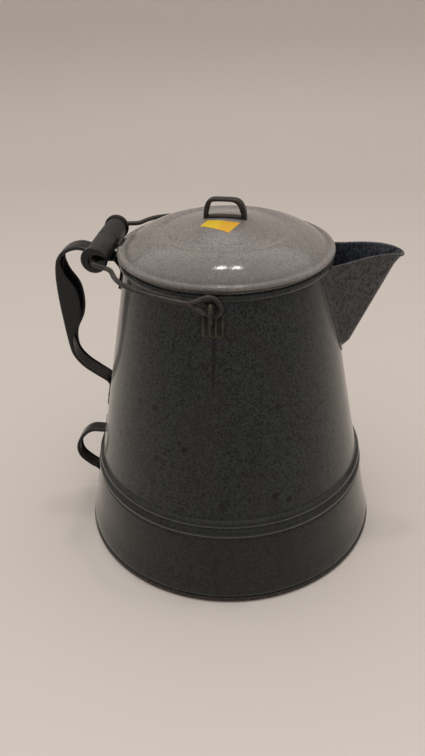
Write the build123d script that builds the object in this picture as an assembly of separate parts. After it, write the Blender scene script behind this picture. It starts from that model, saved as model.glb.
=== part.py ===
from build123d import *
import math
import os

# Large enamelled steel coffee boiler, all sizes in millimetres.
# The origin lies on the table, on the pot's own axis. +Z is up, the spout points along +X,
# the strap handle is on the -X side, and the bail swings about an axis along Y.

# Body sheet and cone
sheet = 1.2
foot_r = 124.0
wall_taper = 0.1965
rim_z = 240.2
rim_roll_r = 2.5
rim_roll_out = 1.8
rim_slit = 0.6
wire_play = 0.05

# Skirt at the foot, with its two swaged ridges at these drops below its top edge
skirt_top_z = 72.5
skirt_lap = 14.5
ridge_drops = (12.5, 3.1)
ridge_r = 4.2
ridge_sink = 3.2
foot_bead_r = 1.8
foot_wire_r = 1.0
foot_flat = 0.15
floor_turn_z = 10.0
floor_turn_gap = 0.2

# Spout, a V-shaped trough with a round nose. Its heights are measured from the pot's rim,
# and its reach from the wall at the rim.
spout_sheet = 1.2
spout_root_in = 6.8
spout_low = -90.2
spout_heel = -68.2
spout_bend = -4.2
spout_high = 8.8
keel_out = 49.0
keel_slope = 0.4345
heel_slope = 0.9
lip_flare = 3.0
nose_r_low = 5.0
nose_r_high = 7.5
root_half_low = 18.0
root_half_high = 29.5
spout_rim = ((-10.8, 1.2), (7.2, 2.2), (27.2, 5.6), (44.2, 6.4), (59.2, 2.8))
flange_width = 3.5
flange_sheet = 1.0

# Strainer holes in the wall behind the spout
strainer_hole_r = 2.2
strainer_pitch = 9.5
strainer_rise = 34.0
strainer_rows = (1, 2, 3, 4, 4)

# Strap handle. Its outline is the outer face: distance from the wall, height over the rim,
# and the depth of the edges that are folded in there.
strap_width = 17.0
strap_sheet = 2.0
strap_lip = 3.0
strap_outline = (
    (30.6, 6.0, 3.0), (39.7, 7.5, 3.0), (49.0, 4.0, 3.0), (54.5, -3.8, 3.0), (54.6, -15.2, 8.0),
    (52.5, -28.2, 15.5), (49.1, -43.2, 17.0), (45.4, -57.2, 14.0), (41.2, -72.2, 5.5), (35.8, -87.6, 3.0),
    (26.3, -98.8, 3.0), (14.8, -106.6, 3.0), (5.7, -111.8, 3.0),
)
cradle_gap = 0.35
cradle_angles = (-30, 0, 25, 45)
strap_root_drop = 10.2
strap_tab = 17.0
strap_foot_drop = 115.7
strap_foot_tab = 20.0

# Tilting handle low on the back. Its outline is the outer face: distance from the wall,
# and height over the top edge of the skirt.
tilt_width = 13.0
tilt_sheet = 2.0
tilt_outline = (
    (2.8, 2.7), (11.8, 2.9), (18.4, -0.1), (23.7, -7.7), (26.0, -18.5), (22.1, -29.1), (11.8, -37.9), (3.4, -42.9),
)
tilt_tab = 15.0
tilt_top = 3.5
tilt_low = -44.0

# Rivets
rivet_shank_r = 1.5
rivet_head_r = 2.9
rivet_head_h = 1.3
rivet_play = 0.05
rivet_seat = 0.08
strap_rivet_gap = 8.0
strap_rivet_edge = 7.0
strap_foot_rivet_edge = 7.5
tilt_rivet_edge = 7.0

# Bail wire, its eyes and the ears they hang on, with drops measured down from the rim
bail_wire_r = 1.9
bail_drop = 1.7
eye_out = 11.87
eye_hole_r = 4.2
eye_gap = 0.3
ear_rod_r = 1.6
ear_leg_in = 5.6
ear_leg_out = 5.2
ear_drop = 12.2
ear_corner = 3.4
ear_plate_drop = 10.7
ear_plate_length = 17.5
ear_plate_width = 16.5
ear_plate_sheet = 1.6
ear_ribs = 4
ear_rib_r = 1.0

# Where the parked grip lies, behind the lid's hinge, and the corners of the bail's side:
# shares of the way from the eyes to the grip and from the middle to an eye
grip_gap = 0.5
grip_rise = 8.3
bail_bar_over = 7.5
bail_arm = ((0.172, 0.997), (0.355, 0.970), (0.591, 0.893), (0.758, 0.753), (0.844, 0.545))

# Turned wooden grip
grip_half = 38.5
grip_flange_r = 9.9
grip_flange_w = 4.6
grip_barrel_r = 8.9
grip_neck_r = 8.2
grip_bore_play = 0.3
grip_ring_depth = 0.4

# Lid. Its dome is a share of the brim's own radius, and a height over the brim's middle.
lid_sheet = 1.1
brim_roll_r = 2.4
brim_over = 1.2
lid_gap = 0.3
lid_lift = 1.9
lid_dome = (
    (0.957, 2.6), (0.920, 4.9), (0.846, 9.0), (0.758, 12.5), (0.683, 14.5), (0.620, 14.9), (0.570, 14.8),
    (0.514, 15.7), (0.426, 17.4), (0.301, 19.7), (0.150, 21.7), (0.0, 22.3),
)
collar_play = 1.5
collar_depth = 6.2
collar_sheet = 1.0
collar_gap = 0.1

# Lid knob, a strap stirrup with its feet turned in
knob_length = 33.0
knob_width = 8.4
knob_sheet = 3.0
knob_height = 16.1
knob_corner = 5.5
knob_foot = 12.9
knob_foot_sheet = 1.6
knob_rivet_x = 8.0

# Lid hinge
hinge_inset = 0.8
hinge_rise = 1.6
hinge_back_gap = 0.4
knuckle_r = 1.7
hinge_pin_r = 0.8
hinge_fit = 0.05
lid_knuckle_half = 3.8
knuckle_gap = 0.4
hinge_half = 8.2
hinge_sheet = 1.2
notch_clear = 1.0
hinge_reach = 3.2

# Values that follow from the ones above
slope_angle = math.degrees(math.atan(wall_taper))
wall_rim_r = foot_r - wall_taper * rim_z
beyond = foot_r + rim_z
foot_bead_z = foot_bead_r - foot_flat
foot_bead_centre_r = foot_r + sheet - foot_bead_r
rim_wire_r = rim_roll_r - sheet
rim_roll_centre_r = wall_rim_r + rim_roll_out
rim_top_z = rim_z + rim_roll_r
brim_z = rim_top_z + lid_lift + brim_roll_r
brim_centre_r = rim_roll_centre_r + brim_over
brim_r = brim_centre_r + brim_roll_r
dome_top_z = brim_z + lid_dome[-1][1]
collar_r = rim_roll_centre_r - rim_roll_r - collar_play
hinge_x = brim_r - hinge_inset
hinge_z = brim_z + hinge_rise
hinge_tab_x = hinge_x - hinge_reach
bail_z = rim_z - bail_drop
eye_y = foot_r - wall_taper * bail_z + eye_out
eye_ring_r = eye_hole_r + bail_wire_r
ear_low_z = rim_z - ear_drop
ear_plate_high_z = rim_z - ear_plate_drop
ear_plate_low_z = ear_plate_high_z - ear_plate_length
ear_rod_z = bail_z + eye_hole_r - eye_gap - ear_rod_r
grip_x = hinge_x + knuckle_r + grip_gap + grip_barrel_r
grip_z = rim_z + grip_rise
park_angle = math.degrees(math.atan2(grip_z - bail_z, grip_x))
arm_length = math.hypot(grip_x, grip_z - bail_z)
strap_root_z = rim_z - strap_root_drop
strap_foot_z = rim_z - strap_foot_drop
strap_rivet_top_z = strap_root_z - strap_tab + strap_rivet_edge
strap_rivet_low_z = strap_foot_z - strap_foot_tab + strap_foot_rivet_edge
tilt_top_z = skirt_top_z + tilt_top
tilt_low_z = skirt_top_z + tilt_low
tilt_rivet_top_z = tilt_top_z + tilt_tab - tilt_rivet_edge
tilt_rivet_low_z = tilt_low_z - tilt_tab + tilt_rivet_edge


def wall_r(z):
    return foot_r - wall_taper * z


def flat_face(points):
    # closed face in the XZ plane from (x, z) points
    return Plane.XZ * make_face(Polyline(*points, close=True))


def turned(face):
    return revolve(face, Axis.Z)


def skin(low_z, high_z, inner, outer):
    # conical shell that lies from inner to outer millimetres off the cone
    points = [
        (wall_r(low_z) + inner, low_z),
        (wall_r(low_z) + outer, low_z),
        (wall_r(high_z) + outer, high_z),
        (wall_r(high_z) + inner, high_z),
    ]
    return turned(flat_face(points))


def block(x_low, x_high, y_low, y_high, z_low, z_high):
    size = (x_high - x_low, y_high - y_low, z_high - z_low)
    centre = ((x_low + x_high) / 2, (y_low + y_high) / 2, (z_low + z_high) / 2)
    return Pos(*centre) * Box(*size)


def rod_y(x, z, y_low, y_high, r):
    # round bar along Y
    return Pos(x, (y_low + y_high) / 2, z) * (Rot(90, 0, 0) * Cylinder(r, y_high - y_low))


def wall_frame(angle, z, offset=0.0):
    # frame on the cone at an angle about Z, local +Z pointing out square to the wall
    frame = Rot(0, 0, angle) * Pos(wall_r(z) + offset, 0, z)
    return frame * Rot(0, 90 - slope_angle, 0)


def rivet(frame, grip_in, grip_out):
    # shank through the sheets, a domed head outside and a flat clenched head inside
    grip_in = grip_in + rivet_seat
    shank = Pos(0, 0, (grip_out - grip_in) / 2) * Cylinder(rivet_shank_r, grip_in + grip_out)
    dome = Sphere(rivet_head_r) & Pos(0, 0, rivet_head_r / 2) * Box(rivet_head_r * 3, rivet_head_r * 3, rivet_head_r)
    outer = Pos(0, 0, grip_out) * scale(dome, (1, 1, rivet_head_h / rivet_head_r))
    inner = Pos(0, 0, -grip_in - 0.4) * Cylinder(rivet_head_r * 0.8, 0.8)
    return frame * (shank + outer + inner)


def rivet_hole(frame, depth=12.0):
    return frame * Cylinder(rivet_shank_r + rivet_play, depth)


def export(name, solid):
    solids = solid.solids()
    whole = solids[0] if len(solids) == 1 else Compound(children=list(solids))
    whole.label = name
    export_step(whole, os.path.join("parts", name + ".step"))
    print(name, len(solids), round(whole.volume))


# Rivet places

def strap_rivet_frames():
    turn = math.degrees(strap_rivet_gap / 2 / wall_r(strap_rivet_top_z))
    top = [wall_frame(180 + side * turn, strap_rivet_top_z) for side in (-1, 1)]
    turn = math.degrees(strap_rivet_gap / 2 / wall_r(strap_rivet_low_z))
    low = [wall_frame(180 + side * turn, strap_rivet_low_z) for side in (-1, 1)]
    return top, low


def tilt_rivet_frames():
    return wall_frame(180, tilt_rivet_top_z), wall_frame(180, tilt_rivet_low_z)


# Body

def rim_roll_profile():
    ring = Circle(rim_roll_r) - Circle(rim_wire_r)
    slit = Pos(0.9, -rim_roll_r + sheet / 2) * Rectangle(rim_slit, sheet * 1.5)
    return Plane.XZ * (Pos(rim_roll_centre_r, rim_z) * (ring - slit))


def strainer_holes():
    holes = []
    for row, count in enumerate(strainer_rows):
        z = rim_z + spout_low + strainer_rise + row * strainer_pitch * 0.9
        for index in range(count):
            shift = (index - (count - 1) / 2) * strainer_pitch
            turn = math.degrees(shift / wall_r(z))
            holes.append(wall_frame(turn, z) * Cylinder(strainer_hole_r, 8))
    return holes


def make_body_wall():
    top_z = rim_z - 1.4
    wall = skin(skirt_top_z - skirt_lap, top_z, -sheet, 0)
    lead = [
        (wall_r(top_z) - sheet, top_z),
        (wall_r(top_z), top_z),
        (rim_roll_centre_r - rim_roll_r * 0.55, rim_z - rim_roll_r * 0.75),
        (rim_roll_centre_r - rim_wire_r - 0.1, rim_z + 0.4),
        (rim_roll_centre_r - rim_roll_r + 0.05, rim_z + 0.4),
    ]
    wall = wall + turned(flat_face(lead)) + turned(rim_roll_profile())
    top, low = strap_rivet_frames()
    for frame in top + low + [tilt_rivet_frames()[0]]:
        wall = wall - rivet_hole(frame)
    for hole in strainer_holes():
        wall = wall - hole
    return wall


def make_rim_wire():
    return turned(Plane.XZ * (Pos(rim_roll_centre_r, rim_z) * Circle(rim_wire_r - wire_play)))


def make_base_skirt():
    skirt = skin(foot_bead_z, skirt_top_z, 0, sheet)
    for drop in ridge_drops:
        z = skirt_top_z - drop
        ridge = Plane.XZ * (Pos(wall_r(z) + sheet - ridge_sink, z) * Circle(ridge_r))
        skirt = skirt + turned(ridge)
    skirt = skirt - Pos(0, 0, skirt_top_z + 5) * Cylinder(foot_r, 10)
    bead = Plane.XZ * (Pos(foot_bead_centre_r, foot_bead_z) * Circle(foot_bead_r))
    skirt = skirt + turned(bead)
    skirt = skirt - Pos(0, 0, foot_bead_z) * Torus(foot_bead_centre_r, foot_wire_r)
    skirt = skirt - skin(foot_bead_z * 2 + 2, skirt_top_z + 3, -ridge_r * 2, 0)
    skirt = skirt - block(-beyond, beyond, -beyond, beyond, -foot_bead_r, 0)
    return skirt - rivet_hole(tilt_rivet_frames()[1])


def make_foot_wire():
    return Pos(0, 0, foot_bead_z) * Torus(foot_bead_centre_r, foot_wire_r - wire_play)


def make_bottom_disc():
    # flat on the table, with its edge turned up inside the skirt
    edge = foot_bead_centre_r - foot_bead_r - floor_turn_gap
    top = wall_r(floor_turn_z) - 0.1
    bend_z = foot_bead_z + foot_bead_r + floor_turn_gap
    points = [
        (0, 0), (edge, 0), (edge, bend_z), (top, floor_turn_z), (top - sheet, floor_turn_z),
        (edge - sheet, bend_z), (edge - sheet, sheet), (0, sheet),
    ]
    return turned(flat_face(points))


# Spout

def spout_section(rise, grow):
    # plan of the trough at a height over the rim
    share = (rise - spout_low) / (spout_high - spout_low)
    nose_r = nose_r_low + (nose_r_high - nose_r_low) * share
    half = root_half_low + (root_half_high - root_half_low) * share
    root_x = wall_rim_r - spout_root_in
    nose_x = wall_rim_r + keel_out + keel_slope * (rise - spout_bend)
    if rise > spout_bend:
        nose_x = nose_x + lip_flare
    if rise < spout_heel:
        nose_x = nose_x - (spout_heel - rise) * (heel_slope - keel_slope)
    centre_x = nose_x - nose_r
    reach = math.hypot(centre_x - root_x, half)
    lean = math.atan2(half, centre_x - root_x)
    side = math.asin(nose_r / reach)
    tilt = lean - side
    radius = nose_r + grow
    half_grown = half + grow / math.cos(tilt)
    touch = (centre_x + radius * math.sin(tilt), radius * math.cos(tilt))
    nose = (centre_x + radius, 0)
    outline = Polyline((touch[0], -touch[1]), (root_x, -half_grown), (root_x, half_grown), touch)
    arc = ThreePointArc(touch, nose, (touch[0], -touch[1]))
    return Pos(0, 0, rim_z + rise) * make_face([outline, arc])


def spout_block(grow, low, high):
    heights = (low, spout_heel, spout_bend, high)
    return loft([spout_section(rise, grow) for rise in heights], ruled=True)


def rim_cutter():
    # everything above the spout's rim line
    line = [(wall_rim_r + out, rim_z + rise) for out, rise in spout_rim]
    over_z = rim_z + spout_high * 5
    curve = Spline(*line)
    far = line[-1]
    near = line[0]
    edge = Polyline(far, (far[0] + keel_out, far[1]), (far[0] + keel_out, over_z), (near[0], over_z), near)
    return extrude(Plane.XZ * make_face([curve, edge]), root_half_high * 2, both=True)


def make_spout():
    outer = spout_block(0, spout_low, spout_high)
    inner = spout_block(-spout_sheet, spout_low, spout_high + spout_sheet)
    shell = outer - inner
    flange = skin(rim_z + spout_low, rim_z - rim_roll_r - 0.5, 0, flange_sheet)
    flange = flange & spout_block(flange_width, spout_low, spout_high)
    flange = flange - inner
    core_z = rim_z + spout_low * 1.5
    solid_cone = turned(flat_face([(0, core_z), (wall_r(core_z), core_z), (wall_rim_r, rim_z), (0, rim_z)]))
    roll = Pos(0, 0, rim_z) * Torus(rim_roll_centre_r, rim_roll_r + 0.1)
    above = Pos(0, 0, rim_z + spout_high * 2) * Cylinder(rim_roll_centre_r + rim_roll_r + 0.1, spout_high * 4)
    spout = shell - solid_cone - roll - above
    spout = spout + flange
    return spout - rim_cutter()


# Strap handle

def outward_normals(points):
    normals = []
    for index in range(len(points)):
        before = points[max(index - 1, 0)]
        after = points[min(index + 1, len(points) - 1)]
        run = (after[0] - before[0], after[1] - before[1])
        length = math.hypot(*run)
        normals.append((run[1] / length, -run[0] / length))
    return normals


def shifted(points, depths):
    # points moved square to the outline, towards the pot
    normals = outward_normals(points)
    moved = []
    for (x, z), (nx, nz), depth in zip(points, normals, depths):
        moved.append((x + nx * depth, z + nz * depth))
    return moved


def from_wall(outline, level):
    # (distance behind the axis, height) from (distance out of the wall, height over a level)
    return [(wall_r(level + rise) + out, level + rise) for out, rise, *depth in outline]


def band_face(outer, inner):
    # face between two curves, mirrored to the rear of the pot
    outer = [(-x, z) for x, z in outer]
    inner = [(-x, z) for x, z in inner]
    top = Spline(*outer)
    bottom = Spline(*inner)
    ends = [Line(outer[0], inner[0]), Line(outer[-1], inner[-1])]
    return Plane.XZ * make_face([top, bottom] + ends)


def strap_path():
    # the strap dips round the underside of the parked grip, then follows its own outline
    reach = grip_barrel_r + cradle_gap
    cradle = []
    for angle in cradle_angles:
        turn = math.radians(angle)
        drop = max(math.cos(turn), math.cos(math.radians(max(angle, 0))))
        cradle.append((grip_x + reach * math.sin(turn), grip_z - reach * drop))
    points = cradle + from_wall(strap_outline, rim_z)
    depths = [strap_lip] * len(cradle) + [depth for out, rise, depth in strap_outline]
    return points, depths


def strap_channel():
    points, depths = strap_path()
    web = band_face(points, shifted(points, depths))
    solid = extrude(web, strap_width / 2, both=True)
    floor = shifted(points, [strap_sheet] * len(points))
    past_edge = shifted(points, [depth + strap_sheet * 2 for depth in depths])
    hollow = extrude(band_face(floor, past_edge), strap_width / 2 - strap_sheet, both=True)
    return solid - hollow


def make_strap_handle():
    points, depths = strap_path()
    top = points[0]
    low = points[-1]
    tab_in = hinge_sheet
    tab_out = hinge_sheet + strap_sheet
    side = strap_width / 2
    tab = skin(strap_root_z - strap_tab, strap_root_z, tab_in, tab_out) & block(-beyond, 0, -side, side, 0, beyond)
    root_in = wall_r(strap_root_z) + tab_in
    root_out = wall_r(strap_root_z) + tab_out
    start_z = strap_root_z - 0.6
    start_r = wall_r(start_z) + tab_in + 0.05
    rise = [
        (-start_r, start_z), (-root_in - 4.0, strap_root_z + 8.2), (-root_in - 5.2, top[1]),
        (-top[0] - 1, top[1]), (-top[0] - 1, top[1] - strap_sheet), (-root_in - 6.4, top[1] - strap_sheet - 0.3),
        (-root_out + 0.05, start_z),
    ]
    rise = extrude(flat_face(rise), side, both=True)
    foot_top = strap_foot_z + 0.5
    foot_low = strap_foot_z - strap_foot_tab
    foot = skin(foot_low, foot_top, 0, strap_sheet) & block(-beyond, 0, -side, side, 0, beyond)
    foot_r_top = wall_r(foot_top)
    knee = [
        (-wall_r(foot_top - 0.6) - 0.05, foot_top - 0.6), (-foot_r_top - 0.6, foot_top + 2.2),
        (-low[0] - 1.5, low[1] + 3.1), (-low[0] - 1.5, low[1] + 0.95), (-foot_r_top - strap_sheet - 1.6, foot_top + 1.4),
        (-foot_r_top - strap_sheet - 0.1, foot_top - 1.6),
    ]
    knee = extrude(flat_face(knee), side, both=True)
    strap = strap_channel() + tab + rise + foot + knee
    frames = strap_rivet_frames()
    for frame in frames[0] + frames[1]:
        strap = strap - rivet_hole(frame)
    return strap


def make_strap_rivets():
    top, low = strap_rivet_frames()
    rivets = [rivet(frame, sheet, hinge_sheet + strap_sheet) for frame in top]
    rivets = rivets + [rivet(frame, sheet, strap_sheet) for frame in low]
    return Compound(children=rivets)


# Tilting handle

def make_tilt_handle():
    side = tilt_width / 2
    outline = from_wall(tilt_outline, skirt_top_z)
    floor = shifted(outline, [tilt_sheet] * len(outline))
    loop = extrude(band_face(outline, floor), side, both=True)
    top_tab = skin(tilt_top_z - 0.6, tilt_top_z + tilt_tab, 0, tilt_sheet)
    low_tab = skin(tilt_low_z - tilt_tab, tilt_low_z, sheet, sheet + tilt_sheet)
    top_tab = top_tab & block(-beyond, 0, -side, side, 0, beyond)
    low_tab = low_tab & block(-beyond, 0, -side, side, 0, beyond)
    top = outline[0]
    low = outline[-1]
    top_r = wall_r(tilt_top_z)
    bend = [
        (-top_r - 0.02, tilt_top_z + 0.6), (-wall_r(top[1] - tilt_sheet) - 0.3, top[1] - tilt_sheet + 0.1),
        (-top[0] - 1, top[1] - tilt_sheet),
        (-top[0] - 1, top[1]), (-top_r - tilt_sheet - 0.6, top[1] + 0.5), (-top_r - tilt_sheet, tilt_top_z + 1.6),
    ]
    low_r = wall_r(tilt_low_z) + sheet
    knee = [
        (-wall_r(tilt_low_z - 0.8) - sheet - 0.05, tilt_low_z - 0.8), (-low_r - 0.3, tilt_low_z + 1.9),
        (-low[0] - 1.6, low[1] + 2.9),
        (-low[0] - 1.6, low[1] + 0.8), (-low_r - tilt_sheet - 0.8, tilt_low_z - 0.6),
        (-low_r - tilt_sheet, tilt_low_z - 1.4),
    ]
    handle = loop + top_tab + low_tab
    handle = handle + extrude(flat_face(bend), side, both=True)
    handle = handle + extrude(flat_face(knee), side, both=True)
    for frame in tilt_rivet_frames():
        handle = handle - rivet_hole(frame)
    return handle


def make_tilt_rivets():
    top, low = tilt_rivet_frames()
    rivets = [rivet(top, sheet, tilt_sheet), rivet(low, 0, sheet + tilt_sheet)]
    return Compound(children=rivets)


# Ears and bail

def make_ear(side):
    inner_y = eye_y - ear_leg_in
    outer_y = eye_y + ear_leg_out
    path = Plane.YZ * RectangleRounded(outer_y - inner_y, ear_rod_z - ear_low_z, ear_corner).wire()
    path = Pos(0, (inner_y + outer_y) / 2, (ear_rod_z + ear_low_z) / 2) * path
    start = path.edges()[0]
    plane = Plane(origin=start @ 0, z_dir=start % 0)
    loop = sweep(plane * Circle(ear_rod_r), path=path)
    half = ear_plate_width / 2
    plate = skin(ear_plate_low_z, ear_plate_high_z, 0, ear_plate_sheet) & block(-half, half, 0, beyond, 0, beyond)
    stub_in = wall_r(ear_low_z) + 0.4
    stub = Pos(0, (stub_in + inner_y + 1) / 2, ear_low_z + ear_rod_r * 0.1)
    stub = stub * (Rot(90, 0, 0) * Cylinder(ear_rod_r, inner_y + 1 - stub_in))
    ear = loop + plate + stub
    for index in range(ear_ribs):
        turn = (index - (ear_ribs - 1) / 2) * (ear_plate_width - 2 * ear_rib_r) / (ear_ribs - 1)
        mid_z = (ear_plate_low_z + ear_plate_high_z) / 2
        spot = wall_frame(90 + math.degrees(turn / wall_r(mid_z)), mid_z, ear_plate_sheet)
        length = ear_plate_high_z - ear_plate_low_z - 1
        ear = ear + spot * (Rot(0, 90, 0) * Cylinder(ear_rib_r, length))
    ear = ear - skin(ear_plate_low_z - ear_rod_r, ear_low_z + ear_rod_r * 4, -ear_leg_in, 0)
    return ear if side > 0 else mirror(ear, Plane.XZ)


def bail_plane_point(reach, across):
    # reach runs from the eyes towards the grip in the bail's own plane
    angle = math.radians(park_angle)
    return (-reach * math.cos(angle), across, bail_z + reach * math.sin(angle))


def bail_path():
    # straight runs joined by arcs as large as the runs allow, from eye to eye
    half = [(eye_ring_r, eye_y)] + [(reach * arm_length, across * eye_y) for reach, across in bail_arm]
    half.append((arm_length, grip_half + bail_bar_over))
    corners = half + [(reach, -across) for reach, across in reversed(half)]
    radii = []
    for before, here, after in zip(corners, corners[1:], corners[2:]):
        run_in = math.dist(before, here)
        run_out = math.dist(here, after)
        lead_in = math.atan2(here[1] - before[1], here[0] - before[0])
        lead_out = math.atan2(after[1] - here[1], after[0] - here[0])
        turn = abs(math.remainder(lead_out - lead_in, 2 * math.pi))
        radii.append(0.45 * min(run_in, run_out) / math.tan(turn / 2))
    return FilletPolyline(*[bail_plane_point(*corner) for corner in corners], radius=radii)


def make_bail_wire():
    # one wire bent to a hoop, with an eye closed on each end
    path = bail_path()
    wire = sweep(Plane(origin=path @ 0, z_dir=path % 0) * Circle(bail_wire_r), path=path)
    for side in (-1, 1):
        ring = Rot(90, 0, 0) * Torus(eye_ring_r, bail_wire_r)
        wire = wire + Pos(0, side * eye_y, bail_z) * ring
    return wire


def make_bail_grip():
    bore = bail_wire_r + grip_bore_play
    inner = grip_half - grip_flange_w
    side = [
        (bore, 0), (grip_barrel_r - grip_ring_depth, 0), (grip_barrel_r - grip_ring_depth, 0.7),
        (grip_barrel_r, 1.3), (grip_barrel_r - 0.05, inner * 0.35), (grip_barrel_r - 0.35, inner * 0.75),
        (grip_neck_r, inner - 0.8), (grip_neck_r, inner), (grip_flange_r - 0.8, inner),
        (grip_flange_r, inner + 0.8), (grip_flange_r, grip_half - 1.4), (grip_flange_r - 1.4, grip_half),
        (bore, grip_half),
    ]
    half = revolve(Plane.XZ * make_face(Polyline(*side, close=True)), Axis.Z)
    whole = half + mirror(half, Plane.XY)
    return Pos(-grip_x, 0, grip_z) * (Rot(90, 0, 0) * whole)


# Lid

def dome_points():
    start = (brim_centre_r - 0.5, brim_z + brim_roll_r - lid_sheet * 0.4)
    return [start] + [(share * brim_centre_r, brim_z + rise) for share, rise in lid_dome]


def dome_core(drop=0.0):
    # everything under the lid's upper face, or under a face that lies lower by the drop
    top = [(r, z - drop) for r, z in dome_points()]
    edge = Polyline(top[-1], (0, rim_z), (top[0][0], rim_z), top[0])
    return turned(Plane.XZ * make_face([Spline(*top), edge]))


def make_lid_shell():
    top = dome_points()
    low = [(r - lid_sheet * 0.55 if r > 0 else r, z - lid_sheet * 0.98) for r, z in top]
    ends = [Line(top[0], low[0]), Line(top[-1], low[-1])]
    dome = turned(Plane.XZ * make_face([Spline(*top), Spline(*low)] + ends))
    roll = Circle(brim_roll_r) - Circle(brim_roll_r - lid_sheet)
    slit = Pos(-brim_roll_r * 0.55, -brim_roll_r * 0.7) * Rectangle(0.8, lid_sheet * 2.4)
    brim = turned(Plane.XZ * (Pos(brim_centre_r, brim_z) * (roll - slit)))
    notch_side = hinge_half + notch_clear
    low_z = brim_z - brim_roll_r * 2
    notch = block(-brim_r - brim_roll_r, -hinge_tab_x, -notch_side, notch_side, low_z, brim_z + brim_roll_r * 3)
    lid = dome + brim - notch
    for side in (-1, 1):
        spot = Pos(side * knob_rivet_x, 0, dome_top_z)
        lid = lid - spot * Cylinder(rivet_shank_r + rivet_play, lid_sheet * 7)
    return lid


def make_lid_collar():
    # short cylinder that enters the rim, with the ledge that the lid sits on; it ends at the dome's underside
    inner = collar_r - collar_sheet
    low_z = rim_z - collar_depth
    seat_z = rim_top_z + lid_gap
    ledge_z = seat_z + collar_sheet
    collar = turned(flat_face([
        (inner, low_z), (collar_r, low_z), (collar_r, seat_z), (rim_roll_centre_r, seat_z),
        (rim_roll_centre_r, ledge_z), (collar_r, ledge_z), (collar_r, dome_top_z), (inner, dome_top_z),
    ]))
    below = Pos(0, 0, rim_z - collar_depth) * Cylinder(brim_r, collar_depth * 2)
    return collar & (dome_core(lid_sheet * 1.5 + collar_gap) + below)


def make_lid_knob():
    half = knob_length / 2
    low_z = dome_top_z + 0.05
    top_z = dome_top_z + knob_height
    under = knob_sheet * 3
    tall = top_z - low_z + under
    outer = RectangleRounded(knob_length, tall, knob_corner)
    inner = RectangleRounded(knob_length - 2 * knob_sheet, tall - 2 * knob_sheet, knob_corner - knob_sheet * 0.6)
    hoop = Plane.XZ * (Pos(0, (top_z + low_z - under) / 2) * (outer - inner))
    hoop = extrude(hoop, knob_width / 2, both=True)
    hoop = hoop & block(-half, half, -knob_width, knob_width, low_z, top_z)
    inside = half - knob_sheet
    wide = knob_width / 2
    foot = block(inside - knob_foot, inside + 0.5, -wide, wide, low_z - lid_sheet * 2, low_z + knob_foot_sheet)
    heel = block(inside, half, -wide, wide, low_z - lid_sheet * 3, low_z + 0.5)
    foot = foot + heel
    knob = hoop + foot + mirror(foot, Plane.YZ) - dome_core()
    for side in (-1, 1):
        knob = knob - Pos(side * knob_rivet_x, 0, low_z) * Cylinder(rivet_shank_r + rivet_play, knob_foot_sheet * 6)
    return knob


def make_knob_rivets():
    rivets = []
    for side in (-1, 1):
        base = Pos(side * knob_rivet_x, 0, dome_top_z + 0.05)
        rivets.append(rivet(base, lid_sheet + 0.9, knob_foot_sheet))
    return Compound(children=rivets)


# Lid hinge

def hinge_rod(y_low, y_high, r):
    return rod_y(-hinge_x, hinge_z, y_low, y_high, r)


def make_hinge_bracket():
    side = hinge_half
    low_z = strap_root_z - strap_tab
    foot = skin(low_z, strap_root_z + hinge_sheet, 0, hinge_sheet) & block(-beyond, 0, -side, side, 0, beyond)
    root = wall_r(strap_root_z)
    back = rim_roll_centre_r + rim_roll_r + hinge_back_gap
    turn_z = rim_z - rim_roll_r - 0.9
    top_z = hinge_z - knuckle_r * 0.6
    rise = [
        (-root - 0.05, strap_root_z), (-back, turn_z), (-back, top_z),
        (-back - hinge_sheet, top_z), (-back - hinge_sheet, turn_z - 0.3), (-root - hinge_sheet, strap_root_z),
    ]
    plate = extrude(flat_face(rise), side, both=True)
    gap = lid_knuckle_half + knuckle_gap
    knuckles = hinge_rod(gap, side, knuckle_r) + hinge_rod(-side, -gap, knuckle_r)
    slot = block(-beyond, -hinge_tab_x, -gap, gap, hinge_z - knuckle_r - 2.2, hinge_z + knuckle_r * 2)
    bracket = foot + (plate - slot) + knuckles
    bracket = bracket - hinge_rod(-side * 2, side * 2, hinge_pin_r + hinge_fit)
    for frame in strap_rivet_frames()[0]:
        bracket = bracket - rivet_hole(frame)
    return bracket


def make_hinge_pin():
    pin = hinge_rod(-hinge_half - 0.2, hinge_half + 0.2, hinge_pin_r)
    for side in (-1, 1):
        inner = side * (hinge_half + 0.1)
        outer = side * (hinge_half + 0.45)
        pin = pin + hinge_rod(min(inner, outer), max(inner, outer), hinge_pin_r + 0.45)
    return pin


def make_lid_hinge_tab():
    half = lid_knuckle_half
    curl = hinge_rod(-half, half, knuckle_r)
    web = block(-hinge_x, -hinge_tab_x - 0.5, -half, half, hinge_z - knuckle_r, hinge_z - knuckle_r + hinge_sheet)
    high = brim_roll_r * 0.8
    plate = block(-hinge_tab_x - 1.0, -hinge_tab_x, -hinge_half, hinge_half, brim_z - high, brim_z + high)
    return curl + web + plate - hinge_rod(-half * 2, half * 2, hinge_pin_r + hinge_fit)


def build():
    os.makedirs("parts", exist_ok=True)
    export("body_wall", make_body_wall())
    export("rim_wire", make_rim_wire())
    export("base_skirt", make_base_skirt())
    export("foot_wire", make_foot_wire())
    export("bottom_disc", make_bottom_disc())
    export("spout", make_spout())
    export("strap_handle", make_strap_handle())
    export("strap_handle_rivets", make_strap_rivets())
    export("tilt_handle", make_tilt_handle())
    export("tilt_handle_rivets", make_tilt_rivets())
    export("bail_ear_left", make_ear(1))
    export("bail_ear_right", make_ear(-1))
    export("bail_wire", make_bail_wire())
    export("bail_grip", make_bail_grip())
    export("lid_shell", make_lid_shell())
    export("lid_collar", make_lid_collar())
    export("lid_knob", make_lid_knob())
    export("lid_knob_rivets", make_knob_rivets())
    export("hinge_bracket", make_hinge_bracket())
    export("hinge_pin", make_hinge_pin())
    export("lid_hinge_tab", make_lid_hinge_tab())


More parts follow.
